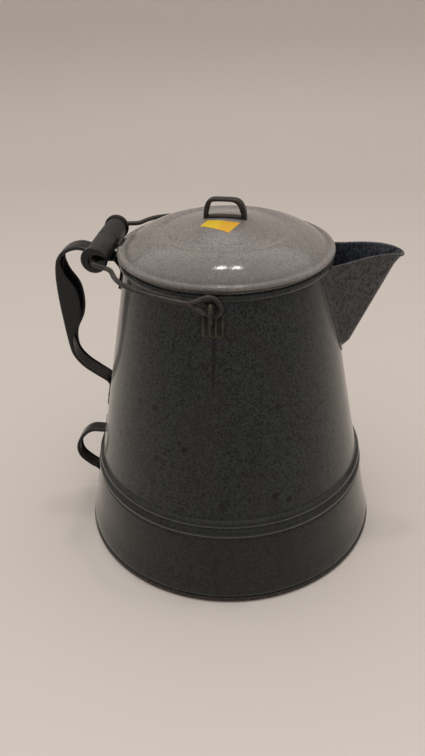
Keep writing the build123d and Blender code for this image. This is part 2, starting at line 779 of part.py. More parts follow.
build()
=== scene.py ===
import math
import bmesh
import bpy
from mathutils import Matrix, Vector


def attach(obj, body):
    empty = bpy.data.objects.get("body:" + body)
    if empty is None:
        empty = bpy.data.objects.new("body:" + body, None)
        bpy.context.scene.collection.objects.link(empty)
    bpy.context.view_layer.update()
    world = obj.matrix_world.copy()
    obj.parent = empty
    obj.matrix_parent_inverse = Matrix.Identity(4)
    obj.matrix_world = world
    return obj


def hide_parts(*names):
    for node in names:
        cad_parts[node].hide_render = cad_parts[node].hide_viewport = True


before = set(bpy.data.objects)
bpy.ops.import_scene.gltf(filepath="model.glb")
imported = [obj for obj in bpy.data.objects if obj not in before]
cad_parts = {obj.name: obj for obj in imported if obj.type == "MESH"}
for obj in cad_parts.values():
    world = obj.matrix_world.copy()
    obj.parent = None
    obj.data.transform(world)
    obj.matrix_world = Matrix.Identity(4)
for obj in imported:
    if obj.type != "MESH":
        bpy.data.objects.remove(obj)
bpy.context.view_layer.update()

mm = 0.001

cone = {"footR": 124.0, "taper": 0.1965}  # the pot's wall in millimetres, as in the frame


def wallR(z):
    return cone["footR"] - cone["taper"] * z


def smoothLine(points, steps):  # an even line through all the points
    made = []
    last = len(points) - 1
    for i in range(last):
        a, b, c, d = points[max(i - 1, 0)], points[i], points[i + 1], points[min(i + 2, last)]
        for k in range(steps):
            t = k / steps
            made.append(tuple(
                0.5 * (2 * q + (r - p) * t + (2 * p - 5 * q + 4 * r - s) * t * t
                       + (3 * q - p - 3 * r + s) * t ** 3)
                for p, q, r, s in zip(a, b, c, d)))
    made.append(tuple(points[-1]))
    return made


def heightAt(line, x):  # on a line of (x, height)
    for (a, za), (b, zb) in zip(line, line[1:]):
        if min(a, b) <= x <= max(a, b):
            return za + (zb - za) * (x - a) / (b - a)
    return line[-1][1]


def arc(x, z, r, start, end, count):  # degrees
    turns = [math.radians(start + (end - start) * i / (count - 1)) for i in range(count)]
    return [(x + r * math.cos(t), z + r * math.sin(t)) for t in turns]


def meshPiece(name, corners, faces, sharpAt=40):  # corners in millimetres
    mesh = bpy.data.meshes.new(name)
    mesh.from_pydata([(x * mm, y * mm, z * mm) for x, y, z in corners], [], faces)
    shaped = bmesh.new()
    shaped.from_mesh(mesh)
    bmesh.ops.remove_doubles(shaped, verts=shaped.verts, dist=0.000002)
    bmesh.ops.recalc_face_normals(shaped, faces=shaped.faces)
    for face in shaped.faces:
        face.smooth = True
    for edge in shaped.edges:
        edge.smooth = edge.calc_face_angle(0) < math.radians(sharpAt)
    shaped.to_mesh(mesh)
    shaped.free()
    piece = bpy.data.objects.new(name, mesh)
    bpy.context.scene.collection.objects.link(piece)
    return piece


def lathe(name, outline, count, place=None):  # outline is a closed loop of (radius, height)
    corners = []
    for i in range(count):
        turn = 2 * math.pi * i / count
        for r, h in outline:
            spot = (r * math.cos(turn), r * math.sin(turn), h)
            corners.append(place(spot) if place else spot)
    many = len(outline)
    faces = []
    for i in range(count):
        here, there = i * many, (i + 1) % count * many
        for j in range(many):
            n = (j + 1) % many
            faces.append((here + j, there + j, there + n, here + n))
    return meshPiece(name, corners, faces, 32)


def loft(name, rings, sharpAt):  # rings of the same number of points, closed at both ends
    corners = [spot for ring in rings for spot in ring]
    many = len(rings[0])
    faces = []
    for i in range(len(rings) - 1):
        here, there = i * many, (i + 1) * many
        for j in range(many):
            n = (j + 1) % many
            faces.append((here + j, there + j, there + n, here + n))
    faces.append(tuple(range(many)))
    faces.append(tuple(reversed(range((len(rings) - 1) * many, len(rings) * many))))
    return meshPiece(name, corners, faces, sharpAt)


def tube(name, points, radius, sides):  # a round wire with rounded tips
    spots = [Vector(p) for p in points]
    last = len(spots) - 1
    tangents = [(spots[min(i + 1, last)] - spots[max(i - 1, 0)]).normalized() for i in range(last + 1)]
    turns = [2 * math.pi * k / sides for k in range(sides)]
    side = tangents[0].orthogonal().normalized()
    rings = []
    for spot, ahead in zip(spots, tangents):
        side = (side - ahead * side.dot(ahead)).normalized()
        other = ahead.cross(side)
        rings.append([tuple(spot + (side * math.cos(t) + other * math.sin(t)) * radius) for t in turns])

    def tip(end, sign):
        made = []
        for t in (0.35, 0.62, 0.84, 0.96):
            centre = spots[end] + tangents[end] * (sign * radius * t * 0.6)
            narrow = math.sqrt(1 - t * t)
            made.append([tuple(centre + (Vector(p) - spots[end]) * narrow) for p in rings[end]])
        return made

    return loft(name, tip(0, -1)[::-1] + rings + tip(-1, 1), 60)


def plate(name, front, back, columns, rows):  # two grids of corners, joined round their edges
    wide, shift = columns + 1, len(front)
    faces = []
    for i in range(rows):
        for j in range(columns):
            a, b, c, d = i * wide + j, i * wide + j + 1, (i + 1) * wide + j + 1, (i + 1) * wide + j
            faces += [(a, b, c, d), (d + shift, c + shift, b + shift, a + shift)]
    edge = list(range(wide)) + [i * wide + columns for i in range(1, rows + 1)]
    edge += [rows * wide + j for j in range(columns - 1, -1, -1)]
    edge += [i * wide for i in range(rows - 1, 0, -1)]
    for a, b in zip(edge, edge[1:] + edge[:1]):
        faces.append((a, a + shift, b + shift, b))
    return meshPiece(name, front + back, faces, 50)


def soften(piece):  # a subdivision surface
    mod = piece.modifiers.new("soften", "SUBSURF")
    mod.levels = mod.render_levels = 1
    return piece


def dress(piece, finish, body, slotName, *nodes):
    piece.data.materials.clear()
    piece.data.materials.append(finish)
    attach(piece, body)
    if nodes:
        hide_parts(*nodes)
    return piece


class Strand:  # one socket, written into sums
    def __init__(self, board, socket):
        self.board, self.socket = board, socket

    def maths(self, operation, *values):
        node = self.board.add("ShaderNodeMath", {"operation": operation}, dict(enumerate(values)))
        return Strand(self.board, node.outputs[0])

    def __add__(self, other): return self.maths("ADD", self, other)
    def __radd__(self, other): return self.maths("ADD", other, self)
    def __sub__(self, other): return self.maths("SUBTRACT", self, other)
    def __rsub__(self, other): return self.maths("SUBTRACT", other, self)
    def __mul__(self, other): return self.maths("MULTIPLY", self, other)
    def __rmul__(self, other): return self.maths("MULTIPLY", other, self)
    def most(self, other): return self.maths("MAXIMUM", self, other)
    def size(self): return self.maths("ABSOLUTE", self)

    def rise(self, low, high):  # 0 below low, 1 above high, smooth between
        span = {"Value": self, "From Min": low, "From Max": high, "To Min": 0.0, "To Max": 1.0}
        node = self.board.add("ShaderNodeMapRange", {"interpolation_type": "SMOOTHSTEP"}, span)
        return Strand(self.board, node.outputs[0])

    def fall(self, low, high):
        return 1 - self.rise(low, high)


class Board:  # a node tree
    def __init__(self, tree):
        self.tree = tree

    def add(self, kind, settings=None, values=None):
        node = self.tree.nodes.new(kind)
        for key, value in (settings or {}).items():
            setattr(node, key, value)
        for key, value in (values or {}).items():
            if isinstance(value, Strand):
                self.tree.links.new(value.socket, node.inputs[key])
            else:
                node.inputs[key].default_value = value
        return node


class Finish(Board):  # one material and its nodes
    def __init__(self, name, **plain):
        self.material = bpy.data.materials.new(name)
        self.material.use_nodes = True
        super().__init__(self.material.node_tree)
        self.shader = self.tree.nodes["Principled BSDF"]
        for key, value in plain.items():
            self.shader.inputs[key.replace("_", " ")].default_value = value
        spots = self.add("ShaderNodeTexCoord")
        self.spot = Strand(self, spots.outputs["Object"])
        self.facing = Strand(self, spots.outputs["Normal"])
        parts = self.add("ShaderNodeSeparateXYZ", {}, {0: self.spot})
        self.x, self.y, self.z = (Strand(self, parts.outputs[i]) for i in range(3))

    def noise(self, scale, detail=2.0, rough=0.5, twist=0.0, at=None):
        values = {"Vector": at or self.spot, "Scale": scale, "Detail": detail, "Roughness": rough,
                  "Distortion": twist}
        return Strand(self, self.add("ShaderNodeTexNoise", {}, values).outputs[0])

    def cells(self, scale, at=None):
        node = self.add("ShaderNodeTexVoronoi", {}, {"Vector": at or self.spot, "Scale": scale})
        return Strand(self, node.outputs["Distance"]), Strand(self, node.outputs["Color"])

    def part(self, strand, index):  # one channel of a colour or vector
        node = self.add("ShaderNodeSeparateXYZ", {}, {0: strand})
        return Strand(self, node.outputs[index])

    def stretch(self, x, y, z, shift=(0, 0, 0)):
        values = {"Vector": self.spot, "Scale": (x, y, z), "Location": shift}
        return Strand(self, self.add("ShaderNodeMapping", {}, values).outputs[0])

    def mix(self, share, a, b):
        node = self.add("ShaderNodeMix", {"data_type": "RGBA"}, {0: share, 6: a, 7: b})
        return Strand(self, node.outputs[2])

    def bump(self, height, depth, strength=1.0, before=None):  # depth in metres
        values = {"Height": height, "Distance": depth, "Strength": strength}
        if before:
            values["Normal"] = before
        return Strand(self, self.add("ShaderNodeBump", {}, values).outputs[0])

    def feed(self, **links):
        for key, strand in links.items():
            self.tree.links.new(strand.socket, self.shader.inputs[key.replace("_", " ")])
        return self.material


def paint(r, g, b):
    return (r, g, b, 1.0)


bodyTone = {  # pairs are where a thing begins and ends, in metres
    "grain": 760.0, "low": 0.44, "high": 0.53, "shine": 0.21, "haze": 0.4, "rough": 0.07, "dull": 0.07,
    "wave": 0.12, "peel": 0.12,
    "dark": paint(0.0008, 0.001, 0.001), "light": paint(0.0265, 0.0315, 0.0325),
    "cloud": paint(0.012, 0.0145, 0.0155), "cloudy": 0.25,
    "warm": paint(0.024, 0.018, 0.0145), "warmth": 0.4, "streaky": 0.35,
    "spot": paint(0.0002, 0.0002, 0.0002), "spots": 1.0, "spotShare": 0.3, "spotFrom": (0.074, 0.078),
    "spotTo": (0.14, 0.19), "pins": 0.6, "blotchy": 0.6, "blotchTo": (0.1, 0.16),
    "skirt": paint(0.012, 0.0108, 0.0088), "brown": 0.4, "skirtTo": (0.0725, 0.074),
    "run": 0.75, "runFrom": (0.166, 0.186), "runTo": (0.212, 0.214),
    # front: strength of the painted shade that darkens the front slope, used on the lid only
    "front": 0.0, "shadedFrontTo": (-0.078, -0.04),
    "bare": paint(0.010, 0.0075, 0.006), "rust": paint(0.065, 0.04, 0.027),
    "worn": ((-0.001, 0.0036, 1.0), (0.2376, 0.2435, 0.15)),
}
# in lidTone, front sets the painted shade that darkens the lid's front slope
lidTone = dict(
    bodyTone, grain=1250.0, low=0.40, high=0.56, shine=0.4, haze=0.14, rough=0.08, dull=0.08, wave=0.16,
    dark=paint(0.115, 0.104, 0.097), light=paint(0.27, 0.246, 0.232), cloud=paint(0.19, 0.172, 0.162),
    cloudy=0.4, warm=paint(0.12, 0.104, 0.094), warmth=0.35, streaky=0.0, spot=paint(0.03, 0.026, 0.022),
    spots=0.0, spotShare=0.9, pins=0.35, blotchy=0.0, brown=0.0, run=0.0, front=0.85,
    rust=paint(0.04, 0.03, 0.023), worn=((0.2438, 0.2466, 0.9),),
)


def graniteFinish(name, tone):
    f = Finish(name, Specular_IOR_Level=tone["shine"], Sheen_Weight=tone["haze"], Sheen_Roughness=0.42,
               Sheen_Tint=paint(1.0, 0.93, 0.86))
    fine = f.noise(tone["grain"], 3.0, 0.62, 0.7)
    worms = f.noise(tone["grain"] * 0.46, 2.0, 0.5, 1.6)
    mottle = (fine * 0.62 + worms * 0.38).rise(tone["low"], tone["high"])
    cloud = f.noise(11.0, 3.0, 0.55, 0.4)
    dull = cloud.rise(0.35, 0.7)
    warm = f.noise(19.0, 3.0, 0.6, 0.8, f.stretch(1, 1, 0.5, (0.4, 0.1, 0.7)))
    streak = f.noise(1.0, 3.0, 0.6, 0.3, f.stretch(60, 60, 7))
    colour = f.mix(mottle, tone["dark"], tone["light"])
    colour = f.mix(dull * tone["cloudy"], colour, tone["cloud"])
    colour = f.mix(warm.rise(0.48, 0.72) * tone["warmth"], colour, tone["warm"])
    colour = f.mix(streak.rise(0.52, 0.75) * tone["streaky"], colour, tone["dark"])

    gap, mark = f.cells(88.0)  # round spots on the lower half of the wall
    size = f.part(mark, 0)
    seen = f.part(mark, 1).rise(tone["spotShare"], tone["spotShare"] + 0.02)
    spots = (gap - size * size * 0.17).fall(0.07, 0.11) * seen
    spots = spots * f.z.rise(*tone["spotFrom"]) * (f.z.fall(*tone["spotTo"]) * 0.9 + 0.1) * tone["spots"]
    gap, mark = f.cells(190.0)
    pin = gap.fall(0.12, 0.22) * f.part(mark, 0).rise(0.78, 0.82) * tone["pins"]
    colour = f.mix(spots.most(pin), colour, tone["spot"])
    blotch = f.noise(34.0, 2.0, 0.5, 1.2).rise(0.66, 0.72) * tone["blotchy"] * f.z.fall(*tone["blotchTo"])
    colour = f.mix(blotch, colour, tone["spot"])
    # painted shade: more dark grain towards the lid's front, standing for the shade on its downward-facing
    # front slope; and a smoother, browner skirt
    front = f.y.fall(*tone["shadedFrontTo"]) * worms.rise(0.42, 0.54) * tone["front"]
    colour = f.mix(front, colour, tone["warm"])
    colour = f.mix(f.z.fall(*tone["skirtTo"]) * tone["brown"], colour, tone["skirt"])
    drift = f.x + 0.001 + (cloud - 0.5) * 0.004  # a run below the near ear
    run = drift.size().fall(0.0007, 0.0016) * f.z.rise(*tone["runFrom"]) * f.z.fall(*tone["runTo"])
    colour = f.mix(run * f.y.fall(-0.01, 0.0) * tone["run"], colour, tone["spot"])

    bands = []
    for low, high, share in tone["worn"]:  # heights of the bare, rusty edges
        middle, half = (low + high) / 2, (high - low) / 2
        band = (f.z - middle).size().fall(half * 0.75, half * 1.1)
        chip = f.noise(240.0, 4.0, 0.65, 0.5).rise(0.62 - share * 0.3, 0.7 - share * 0.3)
        bands.append(band * chip)
    worn = bands[0]
    for band in bands[1:]:
        worn = worn.most(band)
    rust = f.mix(f.noise(700.0, 2.0).rise(0.4, 0.65), tone["bare"], tone["rust"])
    colour = f.mix(worn, colour, rust)
    rough = tone["rough"] + fine * 0.05 + dull * tone["dull"] + spots * 0.1 + worn * 0.35
    skin = f.bump(f.noise(90.0, 2.0, 0.4), 0.0006, tone["wave"])
    skin = f.bump(fine, 0.00018, tone["peel"], skin)
    skin = f.bump(1 - worn, 0.0003, 0.6, skin)
    return f.feed(Base_Color=colour, Roughness=rough, Normal=skin)


spoutTone = {
    "shine": 0.3, "haze": 0.16, "grain": 900.0, "worms": 380.0, "low": 0.40, "high": 0.60, "rough": 0.08,
    "outerDark": paint(0.013, 0.0135, 0.0135), "outerLight": paint(0.082, 0.08, 0.081),
    "innerDark": paint(0.016, 0.018, 0.022), "innerLight": paint(0.068, 0.074, 0.092),
    "cloud": paint(0.022, 0.022, 0.021), "cloudy": 0.35, "middleX": 0.095,
}


def spoutFinish(name, tone):
    f = Finish(name, Specular_IOR_Level=tone["shine"], Sheen_Weight=tone["haze"], Sheen_Roughness=0.35,
               Sheen_Tint=paint(1.0, 0.94, 0.88))
    fine = f.noise(tone["grain"], 3.0, 0.62, 0.7, f.stretch(1, 1, 0.45))
    worms = f.noise(tone["worms"], 2.0, 0.5, 1.2, f.stretch(1, 1, 0.5))
    mottle = (fine * 0.62 + worms * 0.38).rise(tone["low"], tone["high"])
    outward = f.part(f.facing, 0) * (f.x - tone["middleX"]) + f.part(f.facing, 1) * f.y
    outer = f.mix(mottle, tone["outerDark"], tone["outerLight"])
    inner = f.mix(mottle, tone["innerDark"], tone["innerLight"])
    colour = f.mix(outward.fall(-0.0004, 0.0004), outer, inner)
    cloud = f.noise(14.0, 3.0)
    colour = f.mix(cloud.rise(0.4, 0.7) * tone["cloudy"], colour, tone["cloud"])
    skin = f.bump(f.noise(90.0, 2.0, 0.4), 0.0006, 0.12)
    skin = f.bump(fine, 0.00018, 0.12, skin)
    return f.feed(Base_Color=colour, Roughness=tone["rough"] + fine * 0.05 + cloud * 0.08, Normal=skin)


wireTone = {
    "dark": paint(0.012, 0.0095, 0.0078), "pale": paint(0.052, 0.043, 0.036),
    "rust": paint(0.026, 0.017, 0.012), "metal": 0.4, "rough": 0.22,
}
earTone = {
    "dark": paint(0.009, 0.008, 0.006), "pale": paint(0.042, 0.036, 0.027),
    "rust": paint(0.02, 0.0145, 0.009), "metal": 0.3, "rough": 0.3,
}
knobTone = {
    "dark": paint(0.0065, 0.0044, 0.0038), "pale": paint(0.026, 0.019, 0.0165),
    "rust": paint(0.017, 0.0095, 0.007), "metal": 0.15, "rough": 0.26,
}


def ironFinish(name, tone):
    f = Finish(name, Specular_IOR_Level=0.4)
    grime = f.noise(160.0, 4.0, 0.6, 0.4)
    bloom = f.noise(620.0, 3.0, 0.6)
    colour = f.mix(grime.rise(0.4, 0.62), tone["dark"], tone["pale"])
    colour = f.mix(bloom.rise(0.55, 0.75) * 0.55, colour, tone["rust"])
    metal = grime.rise(0.3, 0.7) * tone["metal"]
    skin = f.bump(bloom, 0.00022, 0.5)
    return f.feed(Base_Color=colour, Roughness=tone["rough"] + bloom * 0.25, Metallic=metal, Normal=skin)


handleTone = {
    "base": paint(0.009, 0.0095, 0.0105), "worn": paint(0.042, 0.042, 0.043), "scuffs": (0.58, 0.70),
    "scratches": 0.4, "rough": 0.22,
}


def handleFinish(name, tone):
    f = Finish(name, Specular_IOR_Level=0.3)
    wide = f.noise(60.0, 4.0, 0.6, 0.5)
    fine = f.noise(480.0, 3.0, 0.6)
    scuff = (wide * 0.6 + fine * 0.4).rise(*tone["scuffs"])
    scratch = f.noise(1.0, 2.0, 0.5, 0.0, f.stretch(900, 60, 60)).rise(0.66, 0.72) * tone["scratches"]
    colour = f.mix(scuff.most(scratch), tone["base"], tone["worn"])
    skin = f.bump(fine, 0.00015, 0.35)
    skin = f.bump(f.noise(120.0, 2.0), 0.0005, 0.25, skin)
    return f.feed(Base_Color=colour, Roughness=tone["rough"] + scuff * 0.2 + fine * 0.06, Normal=skin)


gripTone = {
    "barrelTo": (0.0326, 0.034), "ends": paint(0.0012, 0.0012, 0.0012),
    "barrel": paint(0.007, 0.007, 0.0075), "haze": paint(0.026, 0.025, 0.025),
    "worn": paint(0.045, 0.043, 0.041), "crack": paint(0.004, 0.004, 0.004),
    "chip": paint(0.09, 0.075, 0.06), "rough": 0.07, "dull": 0.38,
}


def gripFinish(name, tone):
    f = Finish(name, Specular_IOR_Level=0.38)
    barrel = f.y.size().fall(*tone["barrelTo"])  # dull between the glossy ends
    grain = f.noise(1.0, 4.0, 0.6, 0.4, f.stretch(420, 30, 420))
    wear = f.noise(150.0, 4.0, 0.62, 0.8)
    worn = (wear * 0.6 + grain * 0.4).rise(0.5, 0.66) * barrel
    haze = f.noise(42.0, 2.0, 0.5, 0.6).rise(0.4, 0.65) * barrel
    colour = f.mix(barrel, tone["ends"], tone["barrel"])
    colour = f.mix(haze * 0.6, colour, tone["haze"])
    colour = f.mix(worn * 0.55, colour, tone["worn"])
    gap, mark = f.cells(62.0, f.stretch(1, 0.7, 1))
    crack = (gap - 0.42).size().fall(0.004, 0.012) * f.part(mark, 0).rise(0.6, 0.62) * barrel
    colour = f.mix(crack * 0.85, colour, tone["crack"])
    chip = f.noise(330.0, 3.0, 0.6).rise(0.71, 0.74) * barrel
    colour = f.mix(chip, colour, tone["chip"])
    skin = f.bump(grain * barrel, 0.0003, 0.3)
    skin = f.bump(wear * barrel, 0.0002, 0.3, skin)
    rough = tone["rough"] + barrel * tone["dull"] + worn * 0.1
    return f.feed(Base_Color=colour, Roughness=rough, Normal=skin)


labelTone = {
    "yellow": paint(0.70, 0.46, 0.008), "stain": paint(0.58, 0.35, 0.008),
    "orange": paint(0.68, 0.28, 0.008), "rough": 0.45,
}


def labelFinish(name, tone):
    f = Finish(name)
    fibre = f.noise(900.0, 3.0, 0.6)
    stain = f.noise(110.0, 3.0, 0.6)
    half = (f.x * 0.97 - f.y * 0.26).rise(0.0012, 0.0018)
    colour = f.mix(stain.rise(0.5, 0.75) * 0.25, tone["yellow"], tone["stain"])
    colour = f.mix(half * 0.55, colour, tone["orange"])
    skin = f.bump(fibre, 0.0001, 0.3)
    return f.feed(Base_Color=colour, Roughness=tone["rough"] + fibre * 0.15, Normal=skin)


bodyGranite = graniteFinish("bodyGranite", bodyTone)
lidGranite = graniteFinish("lidGranite", lidTone)
spoutGranite = spoutFinish("spoutGranite", spoutTone)
wireIron = ironFinish("wireIron", wireTone)
earIron = ironFinish("earIron", earTone)
knobIron = ironFinish("knobIron", knobTone)
handleBlack = handleFinish("handleBlack", handleTone)
gripPaint = gripFinish("gripPaint", gripTone)
labelPaper = labelFinish("labelPaper", labelTone)
print("finishes made")

# frame nodes that keep their shape
for finish, *nodes in (
    (bodyGranite, "body_wall", "bottom_disc"), (spoutGranite, "spout"), (lidGranite, "lid_collar"),
    (earIron, "rim_wire", "foot_wire", "hinge_bracket", "hinge_pin", "lid_hinge_tab"),
):
    for node in nodes:
        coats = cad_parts[node].data.materials
        coats.clear()
        coats.append(finish)
print("frame nodes dressed")


skirtShape = {
    "sheet": 1.2, "top": 72.6, "thinFrom": 70.0, "thinBy": 0.8, "flareTo": 26.0, "rows": 160,
    "ridges": (60.5, 68.8), "stand": 1.6, "half": 2.9, "groove": 0.5, "grooveOff": 4.1, "grooveHalf": 0.9,
    "beadR": 1.9, "beadX": 123.7,
    "foot": ((123.3, 4.1), (123.3, 4.6), (124.1, 5.3), (124.5, 6.2), (124.4, 7.8), (123.8, 10.4),
             (123.1, 13.5), (121.7, 19.0), (120.3, 25.2)),
    "inside": ((122.3, 3.4), (122.0, 1.9), (122.5, 0.5)),
}


def baseSkirt():  # lapped over the wall, with two swaged ridges and the rolled foot
    s = skirtShape
    line = arc(s["beadX"], s["beadR"], s["beadR"], -90, 70, 17)
    line += smoothLine(s["foot"], 4)
    for i in range(1, s["rows"]):
        z = s["flareTo"] + (s["top"] - 0.5 - s["flareTo"]) * i / s["rows"]
        thin = max(0.0, min(1.0, (z - s["thinFrom"]) / 2.0))  # the top edge is drawn thin
        out = wallR(z) + s["sheet"] - s["thinBy"] * thin
        for middle in s["ridges"]:
            off = abs(z - middle)
            out += s["stand"] * max(0.0, 1 - (off / s["half"]) ** 2) ** 1.1
            out -= s["groove"] * math.exp(-((off - s["grooveOff"]) / s["grooveHalf"]) ** 2)
        line.append((out, z))
    line += [(wallR(s["top"]) + t, s["top"] + h) for t, h in ((0.3, -0.2), (0.2, -0.03), (0.04, 0.0))]
    line += [(wallR(z) + 0.04, z) for z in (60.0, 40.0, 20.0, 6.0)]
    line += s["inside"]
    return dress(lathe("baseSkirt", line, 288), bodyGranite, "pot", "enamel", "base_skirt")


baseSkirt()
print("skirt made")


spoutShape = {
    "rootX": 70.0, "low": 150.0, "bend": 236.0, "high": 249.0, "keel": 125.8, "slope": 0.4345, "flare": 3.0,
    "noseLow": 5.0, "noseHigh": 7.5, "halfLow": 18.0, "halfHigh": 29.5, "lip": 1.05, "lipIn": 0.15,
    "sink": 0.35, "from": 81.4,
    "rim": ((66.0, 241.4), (84.0, 242.4), (104.0, 245.8), (121.0, 246.6), (136.0, 243.0)),
}


def spoutOutline(z):  # plan of the lip at a height, from one root to the other
    s = spoutShape
    share = (z - s["low"]) / (s["high"] - s["low"])
    nose = s["noseLow"] + (s["noseHigh"] - s["noseLow"]) * share
    half = s["halfLow"] + (s["halfHigh"] - s["halfLow"]) * share
    tip = s["keel"] + s["slope"] * (z - s["bend"])
    if z > s["bend"]:
        tip += s["flare"] * (z - s["bend"]) / (s["high"] - s["bend"])
    middle = tip - nose
    reach = middle - s["rootX"]
    tilt = math.atan2(half, reach) - math.asin(nose / math.hypot(reach, half))
    r = nose + s["lipIn"]
    touchX, touchY = middle + r * math.sin(tilt), r * math.cos(tilt)
    rootX, rootY = s["rootX"], half + s["lipIn"] / math.cos(tilt)
    runX, runY, steps = touchX - rootX, touchY - rootY, 26
    upper = [(rootX + runX * i / steps, rootY + runY * i / steps) for i in range(steps)]
    for i in range(9):
        a = (math.pi / 2 - tilt) * (1 - i / 8)
        upper.append((middle + r * math.cos(a), r * math.sin(a)))
    return upper + [(x, -y) for x, y in reversed(upper[:-1])]


def spoutLip():  # the bead along the spout's edge
    s = spoutShape
    rim = smoothLine(s["rim"], 12)
    spots = []
    for i in range(len(spoutOutline(244.0))):
        z = 244.0
        for _ in range(6):
            x, y = spoutOutline(z)[i]
            z = heightAt(rim, x)
        if math.hypot(x, y) > s["from"]:
            spots.append((x, y, z - s["sink"]))
    return dress(tube("spoutLip", spots, s["lip"], 12), spoutGranite, "pot", "enamel")


spoutLip()
print("spout lip made")


def bentStrap(name, spots, shape):  # spots of (distance behind the axis, height, depth)
    path = [(-far, z, max(deep, shape["thin"])) for far, z, deep in smoothLine(spots, 5)]
    last = len(path) - 1
    rings = []
    for i, (x, z, deep) in enumerate(path):
        sheet = min(shape["sheet"], deep * 0.98)  # the tabs are hammered thinner
        ax, az = path[max(i - 1, 0)][:2]
        bx, bz = path[min(i + 1, last)][:2]
        length = math.hypot(bx - ax, bz - az)
        nx, nz = -(bz - az) / length, (bx - ax) / length
        trim = 1.0 if 1 < i < last - 1 else (0.93 if i in (1, last - 1) else 0.82)
        w = shape["width"] / 2 * trim
        c = min(shape["corner"], deep * 0.6)
        right = [
            (0, 0), (w * 0.55, 0), (w - c, 0), (w - c * 0.3, c * 0.3), (w, c), (w, c + (deep - c) * 0.5),
            (w, deep - sheet * 0.25), (w - sheet * 0.3, deep), (w - sheet * 0.75, deep - sheet * 0.05),
            (w - sheet, max(deep - sheet * 0.3, sheet)), (w - sheet, sheet + (deep - sheet) * 0.4),
            (w - sheet * 1.4, sheet), (w * 0.5, sheet),
        ]
        ring = right + [(0, sheet)] + [(-y, n) for y, n in reversed(right[1:])]
        rings.append([(x + nx * n, y, z + nz * n) for y, n in ring])
    return soften(loft(name, rings, 70))


strapShape = {
    "width": 17.0, "sheet": 1.9, "corner": 1.7, "thin": 1.2, "gripX": 92.5, "gripZ": 248.5, "cradle": 9.3,
    "root": ((81.0, 232.0, 1.7), (82.4, 235.3, 2.3), (84.0, 238.0, 2.7), (86.0, 239.15, 3.0)),
    "outline": (
        (106.2, 246.2, 3.0), (115.0, 247.7, 3.0), (125.0, 244.2, 3.0), (132.0, 236.4, 3.4),
        (134.4, 225.0, 8.0), (134.8, 212.0, 15.5), (134.4, 197.0, 17.0), (133.4, 183.0, 14.0),
        (132.2, 168.0, 5.5), (129.8, 152.6, 3.0), (122.5, 141.4, 3.0), (112.5, 133.6, 2.8),
        (104.5, 128.4, 2.3), (102.2, 126.4, 1.9), (101.1, 123.8, 1.5),
    ),
}


def strapHandle():
    s = strapShape
    path = [(wallR(z) + 1.25, z, s["thin"]) for z in (213.0, 214.5, 219.0, 224.0, 228.5)]
    path += s["root"]
    for a in (-22, 0, 25, 45):  # the hollow under the grip
        x = s["gripX"] + s["cradle"] * math.sin(math.radians(a))
        path.append((x, s["gripZ"] - s["cradle"] * math.cos(math.radians(max(a, 0))), 3.0))
    path += s["outline"]
    path += [(wallR(z) + s["thin"] + 0.08, z, s["thin"]) for z in (119.0, 113.0, 108.0, 105.6, 104.5)]
    return dress(bentStrap("strapHandle", path, s), handleBlack, "pot", "black_enamel", "strap_handle")


tiltShape = {
    "width": 13.0, "sheet": 1.9, "corner": 1.5, "thin": 1.2,
    "outline": (
        (109.4, 77.0, 1.7), (112.0, 75.2, 2.6), (121.0, 75.4, 2.8), (128.2, 72.4, 3.0), (135.0, 64.8, 3.0),
        (139.4, 54.0, 3.0), (137.6, 43.4, 3.0), (129.0, 34.6, 2.8), (121.6, 29.6, 2.3),
    ),
}


def tiltHandle():
    s = tiltShape
    path = [(wallR(z) + s["thin"] + 0.08, z, s["thin"]) for z in (91.0, 90.0, 86.0, 82.0, 79.6)]
    path += s["outline"]
    seat = skirtShape["sheet"] + s["thin"] + 0.1
    path += [(wallR(z) + seat, z, s["thin"]) for z in (25.0, 22.0, 18.0, 14.6, 13.6)]
    return dress(bentStrap("tiltHandle", path, s), handleBlack, "pot", "black_enamel", "tilt_handle")


rivetShape = {  # spots of (across, height, seat over the wall)
    "head": 2.7, "rise": 0.85, "shank": 1.45, "inside": 1.25, "sides": 24,
    "dome": ((1.0, 0.0), (0.99, 0.3), (0.86, 0.62), (0.62, 0.85), (0.32, 0.97), (0.0, 1.0)),
    "strap": ((4.0, 220.0, 2.45), (-4.0, 220.0, 2.45), (4.0, 112.0, 1.25), (-4.0, 112.0, 1.25)),
    "tilt": ((0.0, 84.0, 1.25), (0.0, 20.5, 2.45)),
}


def wallRivets(name, spots, node):  # low domed rivets through the wall at the back
    s = rivetShape
    lean = math.atan(cone["taper"])
    corners, faces = [], []
    for y, z, seat in spots:
        outer = [(s["head"] * r, seat + s["rise"] * h) for r, h in s["dome"]]
        inner = [(s["head"] * r, -s["inside"] - s["rise"] * h) for r, h in s["dome"]]
        outline = list(reversed(inner)) + [(s["shank"], -s["inside"]), (s["shank"], seat)] + outer
        turn = math.pi - math.asin(y / wallR(z))
        away = Vector((math.cos(turn) * math.cos(lean), math.sin(turn) * math.cos(lean), math.sin(lean)))
        side = Vector((-math.sin(turn), math.cos(turn), 0))
        up = away.cross(side)
        foot = Vector((wallR(z) * math.cos(turn), wallR(z) * math.sin(turn), z))
        first, many = len(corners), len(outline)
        for i in range(s["sides"]):
            a = 2 * math.pi * i / s["sides"]
            outward = side * math.cos(a) + up * math.sin(a)
            corners += [tuple(foot + away * h + outward * r) for r, h in outline]
            here, there = first + i * many, first + (i + 1) % s["sides"] * many
            faces += [(here + j, there + j, there + j + 1, here + j + 1) for j in range(many - 1)]
    return dress(meshPiece(name, corners, faces, 50), handleBlack, "pot", "iron", node)


strapHandle()
tiltHandle()
wallRivets("strapRivets", rivetShape["strap"], "strap_handle_rivets")
wallRivets("tiltRivets", rivetShape["tilt"], "tilt_handle_rivets")
print("handles made")


